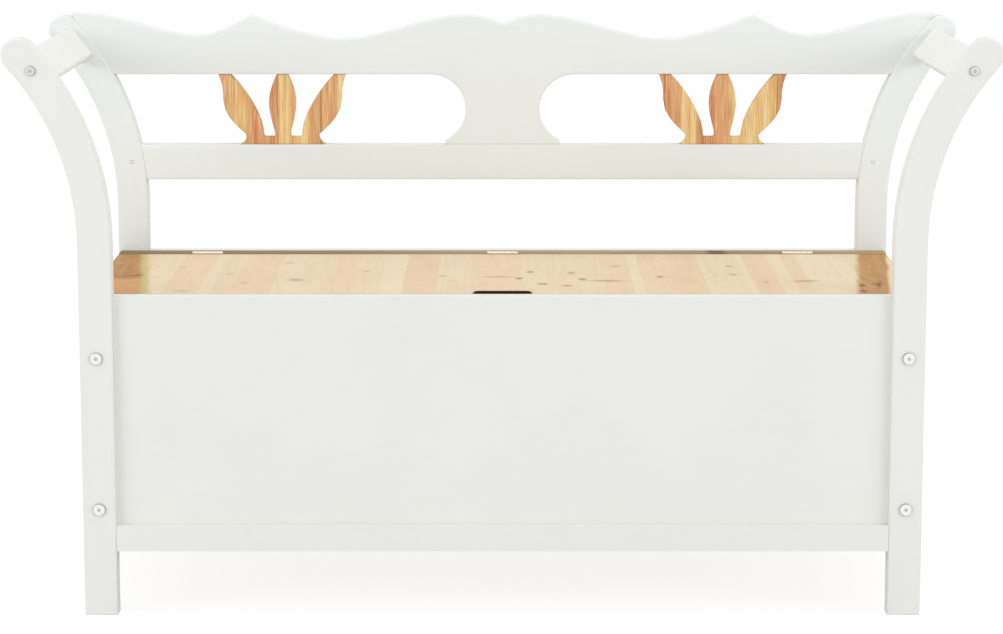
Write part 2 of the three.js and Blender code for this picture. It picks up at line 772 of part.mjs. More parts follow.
// Hinges: two leaves with interlocking knuckles round one pin, upright in the gap behind the lid
function hingeLeaf(middleX, side, firstKnuckle) {
  const halfLength = hingeLength / 2;
  const outer = side * (hingeGap / 2 - seatGap);
  const inner = outer - side * hingeLeafThickness;
  const pitch = hingeLength / hingeKnuckles;
  const plate = boxBetween(
    [middleX - halfLength, hingeAxisY + Math.min(inner, outer), hingeAxisZ - hingeLeafHeight],
    [middleX + halfLength, hingeAxisY + Math.max(inner, outer), hingeAxisZ],
  );
  const knuckles = [];
  const cuts = [];
  for (let i = 0; i < hingeKnuckles; i += 1) {
    const start = middleX - halfLength + i * pitch;
    if (i % 2 === firstKnuckle) {
      const from = i === 0 ? start : start + seatGap / 2;
      const to = i === hingeKnuckles - 1 ? start + pitch : start + pitch - seatGap / 2;
      knuckles.push(rod('x', knuckleRadius, from, to, [hingeAxisY, hingeAxisZ], roundSides));
    } else {
      const reach = knuckleRadius + seatGap;
      cuts.push(boxBetween(
        [start - seatGap / 2, hingeAxisY - reach, hingeAxisZ - reach],
        [start + pitch + seatGap / 2, hingeAxisY + reach, hingeAxisZ + reach],
      ));
    }
  }
  const bore = rod('x', hingePinRadius + seatGap / 2, middleX - halfLength - cutOverrun,
    middleX + halfLength + cutOverrun, [hingeAxisY, hingeAxisZ], roundSides);
  const plain = solidOf(plate);
  const relieved = cuts.reduce((solid, cut) => solid.subtract(solidOf(cut)), plain);
  const joined = knuckles.reduce((solid, knuckle) => solid.add(solidOf(knuckle)), relieved);
  return geometryOf(joined.subtract(solidOf(bore)));
}

function addHinge(middleX, place) {
  addPiece(`hinge_fixed_leaf_${place}`, hingeLeaf(middleX, 1, 0), steel);
  addPiece(`hinge_lid_leaf_${place}`, hingeLeaf(middleX, -1, 1), steel);
  const pin = rod('x', hingePinRadius, middleX - hingeLength / 2, middleX + hingeLength / 2,
    [hingeAxisY, hingeAxisZ], roundSides);
  addPiece(`hinge_pin_${place}`, shaped(pin), steel);
}

for (const [side, sideName] of [[-1, 'left'], [1, 'right']]) {
  addLegs(side, sideName);
  addSidePanel(side, sideName);
  addSideBolts(side, sideName);
  addArmrest(side, sideName);
  addLeafSplat(side, sideName);
  addLockPin(side, sideName);
}
addPanel('front_panel', -1, white);
addPanel('back_panel', 1, white);
addBottomRail('front_bottom_rail', -1);
addBottomRail('rear_bottom_rail', 1);
addFloor();
addLowerRail();
addCrest();
addLid();
addHinge(hingeEndInset - lidHalfLength, 'left');
addHinge(0, 'middle');
addHinge(lidHalfLength - hingeEndInset, 'right');

export default bench;
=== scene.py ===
import math

import bpy
from mathutils import Matrix, Vector


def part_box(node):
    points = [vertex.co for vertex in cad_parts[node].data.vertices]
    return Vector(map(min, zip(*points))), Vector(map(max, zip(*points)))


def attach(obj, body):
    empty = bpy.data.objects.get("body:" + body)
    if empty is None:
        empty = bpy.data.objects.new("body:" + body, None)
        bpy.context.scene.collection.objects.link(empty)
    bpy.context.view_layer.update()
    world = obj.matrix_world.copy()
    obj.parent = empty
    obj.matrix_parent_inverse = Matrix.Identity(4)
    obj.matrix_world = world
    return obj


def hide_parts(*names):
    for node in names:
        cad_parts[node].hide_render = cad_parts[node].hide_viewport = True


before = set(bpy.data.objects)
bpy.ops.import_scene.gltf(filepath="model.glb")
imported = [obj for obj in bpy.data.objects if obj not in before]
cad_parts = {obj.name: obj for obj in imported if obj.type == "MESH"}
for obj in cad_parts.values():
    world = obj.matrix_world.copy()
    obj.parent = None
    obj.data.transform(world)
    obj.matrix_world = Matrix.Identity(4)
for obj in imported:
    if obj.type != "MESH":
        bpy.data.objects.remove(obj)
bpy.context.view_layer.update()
scene = bpy.context.scene
print("bench: frame loaded,", len(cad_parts), "nodes")

mm = 0.001
quarter = math.radians(90)
mergeDistance = 0.02 * mm
smoothAngle = 38         # degrees
fastenerAngle = 30
hingeAngle = 40


# Working with objects
def only(obj):
    bpy.ops.object.select_all(action="DESELECT")
    obj.select_set(True)
    bpy.context.view_layer.objects.active = obj


def applyModifiers(obj):
    only(obj)
    for modifier in list(obj.modifiers):
        bpy.ops.object.modifier_apply(modifier=modifier.name)


def mergedCopy(nodeName, pieceName):
    obj = bpy.data.objects.new(pieceName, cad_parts[nodeName].data.copy())
    obj.data.name = pieceName
    scene.collection.objects.link(obj)
    only(obj)
    bpy.ops.object.mode_set(mode="EDIT")
    bpy.ops.mesh.select_all(action="SELECT")
    bpy.ops.mesh.remove_doubles(threshold=mergeDistance)
    bpy.ops.object.mode_set(mode="OBJECT")
    return obj


def smoothEdges(obj, angle=smoothAngle):
    only(obj)
    bpy.ops.object.shade_smooth_by_angle(angle=math.radians(angle), keep_sharp_edges=False)
    weighted = obj.modifiers.new("weighted", "WEIGHTED_NORMAL")
    weighted.keep_sharp = True
    applyModifiers(obj)


def dress(obj, materials, slot, body, *nodes):
    indices = [face.material_index for face in obj.data.polygons]
    obj.data.materials.clear()
    for material in materials if isinstance(materials, list) else [materials]:
        obj.data.materials.append(material)
    obj.data.polygons.foreach_set("material_index", indices)
    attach(obj, body)
    if nodes:
        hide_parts(*nodes)
    return obj


def selectFaces(obj, chosen):
    # from object mode into edit mode, with only the chosen faces selected
    only(obj)
    bpy.ops.object.mode_set(mode="EDIT")
    bpy.ops.mesh.select_mode(type="FACE")
    bpy.ops.mesh.select_all(action="DESELECT")
    bpy.ops.object.mode_set(mode="OBJECT")
    for face in obj.data.polygons:
        face.select = chosen(face)
    bpy.ops.object.mode_set(mode="EDIT")


def cutWith(obj, tool):
    cut = obj.modifiers.new("cut", "BOOLEAN")
    cut.operation = "DIFFERENCE"
    cut.solver = "EXACT"
    cut.object = tool
    applyModifiers(obj)
    bpy.data.objects.remove(tool)


def placedCopy(obj, name, matrix):
    made = bpy.data.objects.new(name, obj.data.copy())
    made.data.name = name
    made.data.transform(matrix)
    scene.collection.objects.link(made)
    return made


# Working with material nodes
def linear(red, green, blue):
    values = [value / 255 for value in (red, green, blue)]
    return (*[v / 12.92 if v <= 0.04045 else ((v + 0.055) / 1.055) ** 2.4 for v in values], 1)


def startMaterial(name):
    material = bpy.data.materials.new(name)
    material.use_nodes = True
    return material, material.node_tree


def feed(tree, value, socket):
    if isinstance(value, bpy.types.NodeSocket):
        tree.links.new(value, socket)
    else:
        socket.default_value = value


def put(tree, kind, inputs=None, output=0, **settings):
    made = tree.nodes.new("ShaderNode" + kind)
    for key, value in settings.items():
        setattr(made, key, value)
    for socket, value in (inputs or {}).items():
        feed(tree, value, made.inputs[socket])
    return made.outputs[output]


def objectPlace(tree, scale=(1, 1, 1), turn=(0, 0, 0)):
    return mapped(tree, put(tree, "TexCoord", output="Object"), scale, turn)


def mapped(tree, vector, scale=(1, 1, 1), turn=(0, 0, 0)):
    return put(tree, "Mapping", {"Vector": vector, "Scale": scale, "Rotation": turn})


def noiseAt(tree, vector, scale, detail=2.0, roughness=0.5, distortion=0.0):
    return put(tree, "TexNoise", {"Vector": vector, "Scale": scale, "Detail": detail,
                                  "Roughness": roughness, "Distortion": distortion})


def span(tree, value, low, high, toLow=0.0, toHigh=1.0, kind="LINEAR"):
    return put(tree, "MapRange", {"Value": value, "From Min": low, "From Max": high,
                                  "To Min": toLow, "To Max": toHigh}, interpolation_type=kind)


def calc(tree, operation, first, second=0.0):
    return put(tree, "Math", {0: first, 1: second}, operation=operation)


def blend(tree, share, first, second, kind="MIX"):
    return put(tree, "Mix", {0: share, 6: first, 7: second}, output=2, data_type="RGBA", blend_type=kind)


def rampOf(tree, value, stops, kind="LINEAR"):
    made = tree.nodes.new("ShaderNodeValToRGB")
    made.color_ramp.interpolation = kind
    elements = made.color_ramp.elements
    elements.remove(elements[1])
    elements[0].position, elements[0].color = stops[0]
    for position, colour in stops[1:]:
        elements.new(position).color = colour
    feed(tree, value, made.inputs[0])
    return made.outputs[0]


def grey(value):
    return (value, value, value, 1)


def bumpOf(tree, height, distance, strength=1.0, normal=None):
    inputs = {"Height": height, "Distance": distance, "Strength": strength}
    if normal is not None:
        inputs["Normal"] = normal
    return put(tree, "Bump", inputs)


def closeMaterial(material, colour, roughness, normal, specular=0.5, metallic=0.0):
    tree = material.node_tree
    shader = tree.nodes["Principled BSDF"]
    shader.inputs["Specular IOR Level"].default_value = specular
    shader.inputs["Metallic"].default_value = metallic
    feed(tree, colour, shader.inputs["Base Color"])
    feed(tree, roughness, shader.inputs["Roughness"])
    feed(tree, normal, shader.inputs["Normal"])
    return material


# White paint
paint = {
    "colour": (233, 234, 229),
    "shade": (231, 232, 227),
    # painted light: the back's copy of the paint is tinted cooler to cancel the warm light that the lid
    # throws on the crest, the lower rail and the rear legs
    "backColourAgainstLidLight": (232, 236, 234),      # cooler, since the lid's light warms the back
    "backShadeAgainstLidLight": (230, 234, 232),
    # painted highlight: the armrests get a lighter copy of the paint, standing in for the light from above
    # on them
    "armrestHighlightColour": (238, 239, 234),
    "armrestHighlightShade": (236, 237, 232),
    "roughness": (0.44, 0.52),
    "specular": 0.35,
    "grainScale": 240,
    "brushScale": 900,
    "cloudScale": 5,
    "peelScale": 1400,
    "grainStretch": 14,     # how many times longer the grain is than wide
    "grainDepth": 0.014,    # mm
    "peelDepth": 0.006,     # mm, the paint's own fine unevenness
    "jointFill": 0.27,      # mm of paint that closes the joints of the boards at the legs
    "jointsBeyond": 480,    # mm from the middle, where the boards' ends are
}


def paintAlong(axis, colour="colour", shade="shade"):
    material, tree = startMaterial("white paint along " + axis)
    scale = [1, 1, 1]
    scale["xyz".index(axis)] = 1 / paint["grainStretch"]
    along = objectPlace(tree, tuple(scale))
    plain = objectPlace(tree)
    grain = noiseAt(tree, along, paint["grainScale"], 4, 0.6, 0.4)
    brush = noiseAt(tree, along, paint["brushScale"], 3)
    cloud = noiseAt(tree, plain, paint["cloudScale"], 3, 0.55)
    peel = noiseAt(tree, plain, paint["peelScale"])
    tone = calc(tree, "ADD", calc(tree, "MULTIPLY", cloud, 0.7), calc(tree, "MULTIPLY", grain, 0.3))
    colour = blend(tree, span(tree, tone, 0.4, 0.62), linear(*paint[colour]), linear(*paint[shade]))
    height = calc(tree, "ADD", calc(tree, "MULTIPLY", grain, 0.7), calc(tree, "MULTIPLY", brush, 0.3))
    normal = bumpOf(tree, height, paint["grainDepth"] * mm, 0.6)
    normal = bumpOf(tree, peel, paint["peelDepth"] * mm, 0.5, normal)
    low, high = paint["roughness"]
    return closeMaterial(material, colour, span(tree, brush, 0.35, 0.65, low, high), normal,
                         paint["specular"])


def fillJoints(obj):
    # the end faces move up to the legs, and a foot on the lower rail moves down to it
    reach = paint["jointFill"] * mm
    beyond = paint["jointsBeyond"] * mm
    for side in (-1, 1):
        selectFaces(obj, lambda face: face.normal.x * side > 0.7 and face.center.x * side > beyond)
        bpy.ops.transform.translate(value=(side * reach, 0, 0))
        bpy.ops.object.mode_set(mode="OBJECT")
    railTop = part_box("lower_back_rail")[1].z
    selectFaces(obj, lambda face: face.normal.z < -0.9 and 0 < face.center.z - railTop < mm)
    bpy.ops.transform.translate(value=(0, 0, -reach))
    bpy.ops.object.mode_set(mode="OBJECT")


paintX = paintAlong("x")
paintY = paintAlong("y")
paintZ = paintAlong("z")
lidLightCancellingPaintX = paintAlong("x", "backColourAgainstLidLight", "backShadeAgainstLidLight")
lidLightCancellingPaintZ = paintAlong("z", "backColourAgainstLidLight", "backShadeAgainstLidLight")
armrestHighlightPaint = paintAlong("y", "armrestHighlightColour", "armrestHighlightShade")

painted = {
    "front_leg_left": paintZ, "front_leg_right": paintZ,
    "rear_leg_left": lidLightCancellingPaintZ, "rear_leg_right": lidLightCancellingPaintZ,
    "armrest_left": armrestHighlightPaint, "armrest_right": armrestHighlightPaint,
    "side_panel_left": paintZ, "side_panel_right": paintZ,
    "front_panel": paintX, "back_panel": paintX, "front_bottom_rail": paintX, "rear_bottom_rail": paintX,
    "lower_back_rail": lidLightCancellingPaintX, "crest_rail": lidLightCancellingPaintX,
    "rail_lock_pin_left": paintY, "rail_lock_pin_right": paintY,
}
betweenLegs = ("front_panel", "back_panel", "front_bottom_rail", "rear_bottom_rail", "lower_back_rail",
               "crest_rail")
for nodeName, material in painted.items():
    piece = mergedCopy(nodeName, nodeName + "_painted")
    if nodeName in betweenLegs:
        fillJoints(piece)
    smoothEdges(piece)
    dress(piece, material, "white_paint", "frame", nodeName)
print("bench: painted wood done")


# Pine: growth rings round a heart line, seen as lines on the faces and as arcs at the ends
pineTones = {
    "pale": (235, 220, 188),
    "cream": (232, 215, 182),
    "straw": (230, 213, 176),
    "blush": (231, 207, 174),
    "salmon": (229, 200, 165),
    "gold": (230, 187, 122),
    "wheat": (242, 215, 158),
    "coral": (224, 166, 118),
    "tan": (216, 167, 116),
    "rust": (203, 131, 84),
    "seam": (172, 112, 66),
}
pine = {
    "ringWidth": 3.4,       # mm
    "ringContrast": 0.24,
    "ringTone": (206, 152, 96),
    "waver": 7.0,           # mm that the rings wander along a board
    "wanderScale": 26,
    "fibreScale": 800,
    "fibreTone": (168, 120, 76),
    "fibreContrast": 0.09,
    "fibreDepth": 0.04,     # mm
    "roughness": (0.46, 0.58),
    "specular": 0.25,
}


def pineRings(tree, vector, bulge=None):
    # the grain runs along Y of the vector: a saw of 0 to 1 from one ring's start to its dark end
    wander = noiseAt(tree, mapped(tree, vector, (1, 0.09, 1)), pine["wanderScale"], 3, 0.55)
    wander = span(tree, wander, 0, 1, -pine["waver"] * mm, pine["waver"] * mm)
    flat = put(tree, "VectorMath", {0: vector, 1: (1, 0, 1)}, operation="MULTIPLY")
    radius = put(tree, "VectorMath", {0: flat}, output="Value", operation="LENGTH")
    radius = calc(tree, "ADD", radius, wander)
    if bulge is not None:
        radius = calc(tree, "ADD", radius, bulge)
    count = calc(tree, "DIVIDE", radius, pine["ringWidth"] * mm)
    saw = rampOf(tree, calc(tree, "FRACT", count),
                 [(0, grey(0.1)), (0.4, grey(0.16)), (0.82, grey(0.8)), (0.93, grey(1)), (1, grey(0.1))])
    strength = put(tree, "TexWhiteNoise", {"W": calc(tree, "FLOOR", count)}, noise_dimensions="1D")
    return calc(tree, "MULTIPLY", saw, span(tree, strength, 0, 1, 0.35, 1))


def pineFinish(material, tree, colour, vector, rings):
    fibre = noiseAt(tree, mapped(tree, vector, (1, 0.05, 1)), pine["fibreScale"], 3, 0.6)
    colour = blend(tree, span(tree, fibre, 0.3, 0.7, 0, pine["fibreContrast"]), colour,
                   linear(*pine["fibreTone"]), "MULTIPLY")
    low, high = pine["roughness"]
    height = calc(tree, "SUBTRACT", fibre, calc(tree, "MULTIPLY", rings, 0.3))
    normal = bumpOf(tree, height, pine["fibreDepth"] * mm, 0.5)
    return closeMaterial(material, colour, span(tree, fibre, 0.3, 0.7, low, high), normal, pine["specular"])


# Lid: edge-glued staves that run from the front to the back
lid = {
    "leftEnd": -540,         # mm, past the lid's left edge
    "staves": [   # right end of each stave in mm, and its tone
        (-474, "straw"), (-438, "pale"), (-392, "blush"), (-376, "pale"), (-352, "cream"), (-300, "blush"),
        (-266, "pale"), (-231, "cream"), (-197, "blush"), (-160, "cream"), (-129, "pale"), (-86, "salmon"),
        (-42, "cream"), (26, "blush"), (80, "cream"), (133, "straw"), (170, "blush"), (184, "pale"),
        (226, "blush"), (266, "salmon"), (320, "cream"), (329, "pale"), (363, "salmon"), (383, "pale"),
        (403, "blush"), (471, "pale"), (540, "straw"),
    ],
    "cloudTones": ((236, 222, 182), (232, 202, 168)),
    "cloudShare": 0.3,
    "cloudScale": 24,
    "ringsBelow": 300,       # mm from the lid down to the middle of a stave's rings
    "ringsSpread": 18,       # mm that this varies
    "ringSteps": (0.618, 0.619, 0.414),   # across, along and below, from stave to stave
    "legReflectionZone": (-484, 476),  # mm, where the painted reflection of the rear legs, darker, starts at the left and at the right
    "endSlant": 0.12,        # how far it moves out per length towards the back
    "endSoft": 5,            # mm
    "endWaver": 5,           # mm
    "endWaverScale": 60,
    "legReflectionScale": 110,
    "legReflectionTones": ((196, 150, 88), (174, 124, 68)),
    "legReflectionLeft": (246, 239, 224),    # darkens the painted reflection at the left end
    "legReflectionFront": (206, 154, 96),    # the painted reflection's tone at the left end, near the front
    "legReflectionFrontFrom": -60,           # mm
    "olive": (206, 186, 124),        # sapwood beside the painted reflection at the left end
    "rightEdge": (236, 214, 170),    # sapwood past the painted reflection at the right end
    "rightEdgeFrom": 516,
    "endGrain": ((176, 122, 74), (120, 78, 46)),
    # painted shadow: an almost black brown on the wall of the finger notch
    "notchShadowTone": (54, 28, 10),
    "knotTone": (134, 78, 34),
    "knotRough": 0.55,
    "knotRoughScale": 260,
    "knotPush": 5,                   # mm that the rings bend round a knot
    "knots": [   # x, y, width, depth in mm, turn in degrees, darkness (below zero for a pale spot)
        (-493, -40, 34, 15, 20, 1), (-482, -33, 12, 13, 20, 0.62), (-497, -62, 24, 10, 6, 0.62),
        (-521, 71, 12, 8, 0, -0.7), (-430, 30, 10, 29, -10, 0.2), (-412, -160, 34, 19, 0, 0.25),
        (-363, -25, 16, 31, 20, 0.2), (-336, -95, 14, 26, -20, 0.22), (-290, 70, 22, 30, 0, 0.19),
        (-272, -72, 26, 30, 10, 0.43), (-182, 0, 14, 23, 0, 0.25), (-79, -42, 14, 23, 0, 0.3),
        (-6, -48, 50, 21, 4, 0.38), (22, -60, 12, 23, 0, 0.75), (37, -8, 13, 21, 0, 0.62),
        (52, -105, 18, 21, 10, 0.56), (84, -118, 17, 19, 0, 0.56), (92, -16, 13, 21, 0, 0.56),
        (105, -68, 14, 23, 0, 0.69), (136, -80, 58, 19, -5, 0.5), (152, 40, 20, 23, 0, 0.33),
        (208, -48, 12, 19, 0, 0.62), (306, 40, 13, 21, 0, 0.45), (306, -30, 15, 21, 0, 0.43),
        (345, -90, 12, 19, 0, 0.38), (398, -82, 42, 21, 6, 0.43), (468, -116, 12, 27, 0, 1),
        (464, -160, 13, 19, 0, 1), (486, -108, 16, 27, 0, 0.62), (491, -108, 8, 79, -8, 0.75),
    ],
}


def lidPine():
    material, tree = startMaterial("lid pine")
    place = put(tree, "TexCoord", output="Object")
    stave = put(tree, "Attribute", attribute_name="staveTone")
    heartLine = put(tree, "Attribute", output="Vector", attribute_name="staveHeart")
    ends = put(tree, "Attribute", output="Fac", attribute_name="endGrain")
    moved = put(tree, "VectorMath", {0: place, 1: heartLine}, operation="SUBTRACT")

    rough = lid["knotRough"]
    wobble = noiseAt(tree, mapped(tree, place, (1, 0.5, 1)), lid["knotRoughScale"], 3, 0.6)
    wobble = span(tree, wobble, 0, 1, -rough, rough)
    dark = 0.0
    bulge = 0.0
    for x, y, width, depth, turn, darkness in lid["knots"]:
        scaled = put(tree, "Mapping", {
            "Vector": place, "Location": (x * mm, y * mm, 0), "Rotation": (0, 0, math.radians(turn)),
            "Scale": (width * mm / 2, depth * mm / 2, 1000)}, vector_type="TEXTURE")
        away = put(tree, "VectorMath", {0: scaled}, output="Value", operation="LENGTH")
        spot = span(tree, calc(tree, "ADD", away, wobble), 1.25, 0.15, 0, darkness, "SMOOTHSTEP")
        push = span(tree, away, 3.2, 0.4, 0, lid["knotPush"] * mm, "SMOOTHSTEP")
        dark = calc(tree, "ADD", spot, dark)
        bulge = calc(tree, "ADD", push, bulge)

    rings = pineRings(tree, moved, bulge)
    colour = blend(tree, calc(tree, "MULTIPLY", rings, pine["ringContrast"]), stave,
                   linear(*pine["ringTone"]))

    clouds = noiseAt(tree, mapped(tree, place, (1, 0.45, 1)), lid["cloudScale"], 2)
    cloud = blend(tree, span(tree, clouds, 0.35, 0.65), *[linear(*tone) for tone in lid["cloudTones"]])
    colour = blend(tree, lid["cloudShare"], colour, cloud)

    x = put(tree, "SeparateXYZ", {"Vector": place})
    y = put(tree, "SeparateXYZ", {"Vector": place}, output="Y")
    # both ends of the lid get a painted reflection of the rear legs: darker brown zones with grain in them,
    # whose edge slants out towards the back
    waver = noiseAt(tree, mapped(tree, place, (1, 0.15, 1)), lid["endWaverScale"], 3)
    waver = span(tree, waver, 0, 1, -lid["endWaver"] * mm, lid["endWaver"] * mm)
    inward = calc(tree, "SUBTRACT", waver, calc(tree, "MULTIPLY", y, lid["endSlant"]))
    soft = lid["endSoft"] * mm
    left, right = [value * mm for value in lid["legReflectionZone"]]
    fromLeft = calc(tree, "SUBTRACT", x, inward)
    fromRight = calc(tree, "ADD", x, inward)
    oliveZone = span(tree, fromLeft, left + 3 * soft, left + soft, kind="SMOOTHSTEP")
    colour = blend(tree, oliveZone, colour, linear(*lid["olive"]))
    legReflectionFigure = noiseAt(tree, mapped(tree, moved, (1, 0.12, 1), (0, 0, 0.5)), lid["legReflectionScale"], 4, 0.6)
    legReflectionFigure = calc(tree, "MAXIMUM", span(tree, legReflectionFigure, 0.4, 0.7), calc(tree, "MULTIPLY", rings, 0.6))
    legReflectionColour = blend(tree, legReflectionFigure, *[linear(*tone) for tone in lid["legReflectionTones"]])
    legReflectionColour = blend(tree, span(tree, x, 0, left), legReflectionColour, linear(*lid["legReflectionLeft"]), "MULTIPLY")
    edge = lid["legReflectionFrontFrom"] * mm
    front = calc(tree, "MULTIPLY", span(tree, y, edge + soft, edge - soft), span(tree, x, 0, left))
    zone = calc(tree, "MAXIMUM", span(tree, fromLeft, left + soft, left - soft, kind="SMOOTHSTEP"),
                span(tree, fromRight, right - soft, right + soft, kind="SMOOTHSTEP"))
    colour = blend(tree, zone, colour, blend(tree, front, legReflectionColour, linear(*lid["legReflectionFront"])))
    outerEdge = lid["rightEdgeFrom"] * mm
    outer = span(tree, fromRight, outerEdge - soft / 2, outerEdge + soft / 2)
    colour = blend(tree, outer, colour, linear(*lid["rightEdge"]))
    colour = blend(tree, span(tree, dark, 0, 1), colour, linear(*lid["knotTone"]))
    colour = blend(tree, span(tree, dark, 0, -1), colour, linear(*lid["rightEdge"]))
    endTones = [linear(*tone) for tone in lid["endGrain"]]
    endColour = blend(tree, calc(tree, "MULTIPLY", rings, 0.6), *endTones)
    colour = blend(tree, span(tree, ends, 0, 0.5), colour, endColour)
    colour = blend(tree, span(tree, ends, 0.5, 1), colour, linear(*lid["notchShadowTone"]))
    return pineFinish(material, tree, colour, moved, rings)


def makeLid():
    piece = mergedCopy("lid_panel", "lid_staves")
    only(piece)
    bpy.ops.object.mode_set(mode="EDIT")
    for edge, tone in lid["staves"][:-1]:
        bpy.ops.mesh.select_all(action="SELECT")
        bpy.ops.mesh.bisect(plane_co=(edge * mm, 0, 0), plane_no=(1, 0, 0))
    bpy.ops.object.mode_set(mode="OBJECT")
    attributes = piece.data.attributes
    attributes.new("staveTone", "FLOAT_COLOR", "FACE")
    attributes.new("staveHeart", "FLOAT_VECTOR", "FACE")
    attributes.new("endGrain", "FLOAT", "FACE")
    tones, hearts, ends = (attributes[name].data for name in ("staveTone", "staveHeart", "endGrain"))
    edges = [edge for edge, tone in lid["staves"]]
    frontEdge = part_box("lid_panel")[0].y
    acrossStep, alongStep, belowStep = lid["ringSteps"]
    for face in piece.data.polygons:
        number = next(i for i, edge in enumerate(edges) if face.center.x / mm < edge)
        left = edges[number - 1] if number else lid["leftEnd"]
        across = left + (edges[number] - left) * (0.2 + 0.6 * (number * acrossStep % 1))
        # every third stave has its rings further below, so they run straighter
        spread = lid["ringsSpread"] * (1 if number % 3 else 8)
        below = lid["ringsBelow"] + spread * (number * belowStep % 1)
        tones[face.index].color = linear(*pineTones[lid["staves"][number][1]])
        hearts[face.index].vector = (across * mm, number * alongStep, below * mm)
        # 0 on the faces, 0.5 on the front and back edge, 1 on the wall of the finger notch, which gets a
        # painted shadow
        atFront = face.center.y - frontEdge < mm
        acrossGrain = abs(face.normal.y) >= 0.6
        outside = atFront or face.normal.y > 0
        ends[face.index].value = 0 if not acrossGrain else 0.5 if outside else 1
    smoothEdges(piece)
    return dress(piece, lidPine(), "pine", "lid", "lid_panel")


makeLid()
print("bench: lid done")


# Plain boards: the vector is turned so that the grain runs along Y
boards = {
    "ringTone": "tan",
    "ringContrast": 0.6,
    "ringMiddle": (0.013, 0, 0.31),  # metres
    "cloudScale": 14,
    "cloudShare": 0.25,
    "cloudDarkness": 0.93,
}


def plainPine(name, turn, toneName):
    material, tree = startMaterial(name)
    tone = pineTones[toneName]
    cloudTone = [value * boards["cloudDarkness"] for value in tone]
    vector = objectPlace(tree, turn=turn)
    vector = put(tree, "VectorMath", {0: vector, 1: boards["ringMiddle"]}, operation="SUBTRACT")
    rings = pineRings(tree, vector)
    cloud = noiseAt(tree, mapped(tree, vector, (1, 0.3, 1)), boards["cloudScale"], 3)
    colour = blend(tree, calc(tree, "MULTIPLY", rings, boards["ringContrast"]), linear(*tone),
                   linear(*pineTones[boards["ringTone"]]))
    colour = blend(tree, span(tree, cloud, 0.4, 0.7, 0, boards["cloudShare"]), colour, linear(*cloudTone))
    return pineFinish(material, tree, colour, vector, rings)


boardPine = plainPine("board pine", (0, 0, quarter), "cream")
cleatPine = plainPine("cleat pine", (0, 0, 0), "straw")


hingeRail = {
    "tones": [   # share of its length, and the tone there
        (0, (150, 124, 92)), (0.3, (156, 128, 96)), (0.42, (178, 150, 114)), (0.6, (186, 156, 116)),
        (0.762, (176, 144, 106)), (0.773, (112, 82, 42)), (0.785, (112, 82, 42)), (0.797, (168, 138, 100)),
        (1, (190, 162, 120)),
    ],
    "lineTone": (112, 82, 56),
    "lineShare": 0.3,
    "lineScale": 300,
    "specular": 0.08,
}


def hingeRailPine():
    material, tree = startMaterial("hinge rail pine")
    low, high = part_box("hinge_rail")
    place = put(tree, "TexCoord", output="Object")
    tone = rampOf(tree, span(tree, put(tree, "SeparateXYZ", {"Vector": place}), low.x, high.x),
                  [(share, linear(*tone)) for share, tone in hingeRail["tones"]])
    vector = mapped(tree, place, turn=(0, 0, quarter))
    lines = noiseAt(tree, mapped(tree, vector, (1, 0.04, 1)), hingeRail["lineScale"], 3, 0.6)
    colour = blend(tree, span(tree, lines, 0.4, 0.7, 0, hingeRail["lineShare"]), tone,
                   linear(*hingeRail["lineTone"]))
    pineFinish(material, tree, colour, vector, lines)
    tree.nodes["Principled BSDF"].inputs["Specular IOR Level"].default_value = hingeRail["specular"]
    return material


plainBoards = {
    "bottom_board": (boardPine, "pine", "frame"), "floor_cleat_left": (cleatPine, "pine", "frame"),
    "floor_cleat_right": (cleatPine, "pine", "frame"), "lid_batten_front": (boardPine, "pine", "lid"),
    "lid_batten_rear": (boardPine, "pine", "lid"), "crest_dowel_left": (boardPine, "pine", "frame"),
    "crest_dowel_right": (boardPine, "pine", "frame"),
    "hinge_rail": (hingeRailPine(), "dark_pine", "frame"),
}
for nodeName, (material, slot, body) in plainBoards.items():
    piece = mergedCopy(nodeName, nodeName + "_pine")
    smoothEdges(piece)
    dress(piece, material, slot, body, nodeName)


# Leaf splats: narrow upright laths of changing tone
leaves = {   # share of the splat's width, and the tone there
    "left": [
        (0, "gold"), (0.03, "coral"), (0.075, "coral"), (0.09, "gold"), (0.125, "tan"),
        (0.135, "wheat"), (0.146, "gold"), (0.2, "gold"), (0.23, "tan"), (0.26, "coral"),
        (0.285, "rust"), (0.32, "coral"), (0.36, "tan"), (0.43, "rust"), (0.452, "coral"),
        (0.462, "seam"), (0.472, "gold"), (0.49, "wheat"), (0.52, "gold"), (0.535, "wheat"),
        (0.565, "gold"), (0.58, "coral"), (0.6, "gold"), (0.68, "wheat"), (0.7, "gold"),
        (0.73, "tan"), (0.79, "tan"), (0.802, "seam"), (0.815, "gold"), (0.85, "coral"),
        (0.915, "tan"), (0.95, "wheat"),
    ],
    "right": [
        (0, "tan"), (0.03, "coral"), (0.045, "seam"), (0.058, "coral"), (0.08, "rust"),
        (0.1, "coral"), (0.17, "tan"), (0.19, "wheat"), (0.24, "gold"), (0.28, "wheat"),
        (0.3, "tan"), (0.33, "rust"), (0.352, "rust"), (0.362, "seam"), (0.375, "coral"),
        (0.41, "rust"), (0.45, "coral"), (0.52, "coral"), (0.54, "tan"), (0.575, "gold"),
        (0.6, "wheat"), (0.65, "gold"), (0.72, "wheat"), (0.78, "gold"), (0.84, "wheat"),
        (0.88, "gold"), (0.918, "gold"), (0.928, "seam"), (0.938, "tan"), (0.97, "rust"), (1, "tan"),
    ],
    "waver": 1.6,            # mm
    "waverScale": 60,
    "lineScale": 640,
    "lineTone": (190, 134, 80),
    "lineContrast": 0.55,
    "glintTone": (252, 232, 184),
    "glintContrast": 0.5,
}


